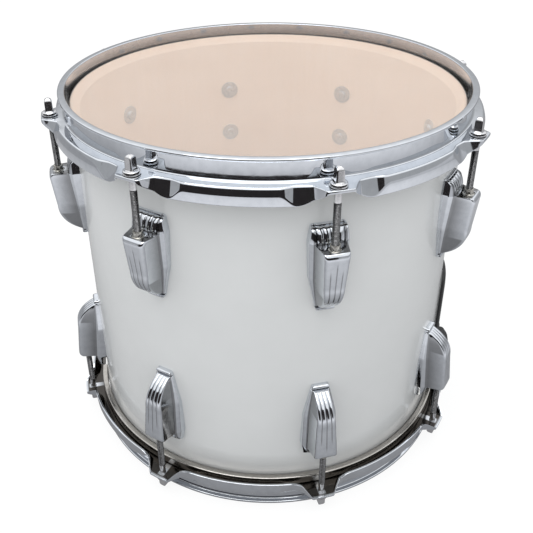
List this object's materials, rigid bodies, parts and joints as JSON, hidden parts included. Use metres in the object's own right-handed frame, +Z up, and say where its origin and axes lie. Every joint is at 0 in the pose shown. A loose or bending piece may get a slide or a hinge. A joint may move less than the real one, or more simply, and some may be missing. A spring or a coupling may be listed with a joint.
{
  "type": "rack tom drum",
  "caption": "Cylindrical two-headed drum with a white gloss shell, chromed hoops, lugs and tension rods, and a black bracket that takes a stand's arm.",
  "frame": {"origin": "centre of the bottom hoop's rim, on the drum's axis, where the drum stands on a floor", "axes": "+Z up along the drum's axis towards the batter head; -Y towards the first lug, the mounting bracket 67.5 degrees from it towards +X"},
  "size_m": [0.4088, 0.4088, 0.3522],
  "materials": {
    "white_shell": "gloss white outside, bare maple inside and on the edges",
    "clear_film": "clear polyester film, slightly hazed",
    "flesh_aluminium": "plain aluminium",
    "hoop_chrome": "bright chrome with small pits",
    "lug_chrome": "bright chrome on a die casting",
    "vent_chrome": "bright chrome eyelet",
    "rod_steel": "chromed head, duller rolled thread",
    "nut_brass": "nickel-plated brass",
    "black_casting": "satin black",
    "gasket_rubber": "grey rubber sheet",
    "zinc_steel": "zinc-plated steel"
  },
  "bodies": {
    "root": {"shell": "white_shell", "vent_grommet": "vent_chrome", "top_head_film": "clear_film", "top_flesh_hoop": "flesh_aluminium", "mount_bracket": "black_casting", "bracket_gasket": "gasket_rubber", "top_swivel_nut_1": "nut_brass", "top_lug_1": "lug_chrome", "top_swivel_nut_2": "nut_brass", "top_lug_2": "lug_chrome", "top_swivel_nut_3": "nut_brass", "top_lug_3": "lug_chrome", "top_swivel_nut_4": "nut_brass", "top_lug_4": "lug_chrome", "top_swivel_nut_5": "nut_brass", "top_lug_5": "lug_chrome", "top_swivel_nut_6": "nut_brass", "top_lug_6": "lug_chrome", "top_swivel_nut_7": "nut_brass", "top_lug_7": "lug_chrome", "top_swivel_nut_8": "nut_brass", "top_lug_8": "lug_chrome", "bottom_swivel_nut_1": "nut_brass", "bottom_lug_1": "lug_chrome", "bottom_swivel_nut_2": "nut_brass", "bottom_lug_2": "lug_chrome", "bottom_swivel_nut_3": "nut_brass", "bottom_lug_3": "lug_chrome", "bottom_swivel_nut_4": "nut_brass", "bottom_lug_4": "lug_chrome", "bottom_swivel_nut_5": "nut_brass", "bottom_lug_5": "lug_chrome", "bottom_swivel_nut_6": "nut_brass", "bottom_lug_6": "lug_chrome", "bottom_swivel_nut_7": "nut_brass", "bottom_lug_7": "lug_chrome", "bottom_swivel_nut_8": "nut_brass", "bottom_lug_8": "lug_chrome"},
    "top_hoop": {"top_hoop": "hoop_chrome"},
    "bottom_hoop": {"bottom_hoop": "hoop_chrome", "bottom_head_film": "clear_film", "bottom_flesh_hoop": "flesh_aluminium"},
    "top_rod_1": {"top_tension_rod_1": "rod_steel"},
    "top_rod_2": {"top_tension_rod_2": "rod_steel"},
    "top_rod_3": {"top_tension_rod_3": "rod_steel"},
    "top_rod_4": {"top_tension_rod_4": "rod_steel"},
    "top_rod_5": {"top_tension_rod_5": "rod_steel"},
    "top_rod_6": {"top_tension_rod_6": "rod_steel"},
    "top_rod_7": {"top_tension_rod_7": "rod_steel"},
    "top_rod_8": {"top_tension_rod_8": "rod_steel"},
    "bottom_rod_1": {"bottom_tension_rod_1": "rod_steel"},
    "bottom_rod_2": {"bottom_tension_rod_2": "rod_steel"},
    "bottom_rod_3": {"bottom_tension_rod_3": "rod_steel"},
    "bottom_rod_4": {"bottom_tension_rod_4": "rod_steel"},
    "bottom_rod_5": {"bottom_tension_rod_5": "rod_steel"},
    "bottom_rod_6": {"bottom_tension_rod_6": "rod_steel"},
    "bottom_rod_7": {"bottom_tension_rod_7": "rod_steel"},
    "bottom_rod_8": {"bottom_tension_rod_8": "rod_steel"},
    "clamp_shoe": {"clamp_shoe": "zinc_steel"},
    "clamp_screw": {"clamp_wing_screw": "black_casting"}
  },
  "joints": [
    {"name": "top_hoop_slide", "type": "slide", "parent": "root", "child": "top_hoop", "axis": [0, 0, 1], "range_m": [0, 0.00635]},
    {"name": "bottom_hoop_slide", "type": "slide", "parent": "root", "child": "bottom_hoop", "axis": [0, 0, -1], "range_m": [0, 0.00635]},
    {"name": "top_rod_1_turn", "type": "hinge", "parent": "top_hoop", "child": "top_rod_1", "pos_m": [0, -0.1956, 0.3335], "axis": [0, 0, 1], "range_deg": [-1, 2162]},
    {"name": "top_rod_2_turn", "type": "hinge", "parent": "top_hoop", "child": "top_rod_2", "pos_m": [0.13831, -0.13831, 0.3335], "axis": [0, 0, 1], "range_deg": [-1, 2162]},
    {"name": "top_rod_3_turn", "type": "hinge", "parent": "top_hoop", "child": "top_rod_3", "pos_m": [0.1956, 0, 0.3335], "axis": [0, 0, 1], "range_deg": [-1, 2162]},
    {"name": "top_rod_4_turn", "type": "hinge", "parent": "top_hoop", "child": "top_rod_4", "pos_m": [0.13831, 0.13831, 0.3335], "axis": [0, 0, 1], "range_deg": [-1, 2162]},
    {"name": "top_rod_5_turn", "type": "hinge", "parent": "top_hoop", "child": "top_rod_5", "pos_m": [0, 0.1956, 0.3335], "axis": [0, 0, 1], "range_deg": [-1, 2162]},
    {"name": "top_rod_6_turn", "type": "hinge", "parent": "top_hoop", "child": "top_rod_6", "pos_m": [-0.13831, 0.13831, 0.3335], "axis": [0, 0, 1], "range_deg": [-1, 2162]},
    {"name": "top_rod_7_turn", "type": "hinge", "parent": "top_hoop", "child": "top_rod_7", "pos_m": [-0.1956, 0, 0.3335], "axis": [0, 0, 1], "range_deg": [-1, 2162]},
    {"name": "top_rod_8_turn", "type": "hinge", "parent": "top_hoop", "child": "top_rod_8", "pos_m": [-0.13831, -0.13831, 0.3335], "axis": [0, 0, 1], "range_deg": [-1, 2162]},
    {"name": "bottom_rod_1_turn", "type": "hinge", "parent": "bottom_hoop", "child": "bottom_rod_1", "pos_m": [0, -0.1956, 0.0187], "axis": [0, 0, -1], "range_deg": [-1, 2162]},
    {"name": "bottom_rod_2_turn", "type": "hinge", "parent": "bottom_hoop", "child": "bottom_rod_2", "pos_m": [0.13831, -0.13831, 0.0187], "axis": [0, 0, -1], "range_deg": [-1, 2162]},
    {"name": "bottom_rod_3_turn", "type": "hinge", "parent": "bottom_hoop", "child": "bottom_rod_3", "pos_m": [0.1956, 0, 0.0187], "axis": [0, 0, -1], "range_deg": [-1, 2162]},
    {"name": "bottom_rod_4_turn", "type": "hinge", "parent": "bottom_hoop", "child": "bottom_rod_4", "pos_m": [0.13831, 0.13831, 0.0187], "axis": [0, 0, -1], "range_deg": [-1, 2162]},
    {"name": "bottom_rod_5_turn", "type": "hinge", "parent": "bottom_hoop", "child": "bottom_rod_5", "pos_m": [0, 0.1956, 0.0187], "axis": [0, 0, -1], "range_deg": [-1, 2162]},
    {"name": "bottom_rod_6_turn", "type": "hinge", "parent": "bottom_hoop", "child": "bottom_rod_6", "pos_m": [-0.13831, 0.13831, 0.0187], "axis": [0, 0, -1], "range_deg": [-1, 2162]},
    {"name": "bottom_rod_7_turn", "type": "hinge", "parent": "bottom_hoop", "child": "bottom_rod_7", "pos_m": [-0.1956, 0, 0.0187], "axis": [0, 0, -1], "range_deg": [-1, 2162]},
    {"name": "bottom_rod_8_turn", "type": "hinge", "parent": "bottom_hoop", "child": "bottom_rod_8", "pos_m": [-0.13831, -0.13831, 0.0187], "axis": [0, 0, -1], "range_deg": [-1, 2162]},
    {"name": "clamp_slide", "type": "slide", "parent": "root", "child": "clamp_shoe", "axis": [0.3827, 0.9239, 0], "range_m": [-0.0005, 0.004]},
    {"name": "clamp_screw_turn", "type": "hinge", "parent": "clamp_shoe", "child": "clamp_screw", "pos_m": [0.17374, -0.07196, 0.056], "axis": [0.3827, 0.9239, 0], "range_deg": [-181, 1441]}
  ],
  "couplings": [
    {"joint": "top_rod_1_turn", "follows": "top_hoop_slide", "rad_per_m": 5936.9},
    {"joint": "top_rod_2_turn", "follows": "top_hoop_slide", "rad_per_m": 5936.9},
    {"joint": "top_rod_3_turn", "follows": "top_hoop_slide", "rad_per_m": 5936.9},
    {"joint": "top_rod_4_turn", "follows": "top_hoop_slide", "rad_per_m": 5936.9},
    {"joint": "top_rod_5_turn", "follows": "top_hoop_slide", "rad_per_m": 5936.9},
    {"joint": "top_rod_6_turn", "follows": "top_hoop_slide", "rad_per_m": 5936.9},
    {"joint": "top_rod_7_turn", "follows": "top_hoop_slide", "rad_per_m": 5936.9},
    {"joint": "top_rod_8_turn", "follows": "top_hoop_slide", "rad_per_m": 5936.9},
    {"joint": "bottom_rod_1_turn", "follows": "bottom_hoop_slide", "rad_per_m": 5936.9},
    {"joint": "bottom_rod_2_turn", "follows": "bottom_hoop_slide", "rad_per_m": 5936.9},
    {"joint": "bottom_rod_3_turn", "follows": "bottom_hoop_slide", "rad_per_m": 5936.9},
    {"joint": "bottom_rod_4_turn", "follows": "bottom_hoop_slide", "rad_per_m": 5936.9},
    {"joint": "bottom_rod_5_turn", "follows": "bottom_hoop_slide", "rad_per_m": 5936.9},
    {"joint": "bottom_rod_6_turn", "follows": "bottom_hoop_slide", "rad_per_m": 5936.9},
    {"joint": "bottom_rod_7_turn", "follows": "bottom_hoop_slide", "rad_per_m": 5936.9},
    {"joint": "bottom_rod_8_turn", "follows": "bottom_hoop_slide", "rad_per_m": 5936.9},
    {"joint": "clamp_screw_turn", "follows": "clamp_slide", "rad_per_m": 6283.2}
  ]
}
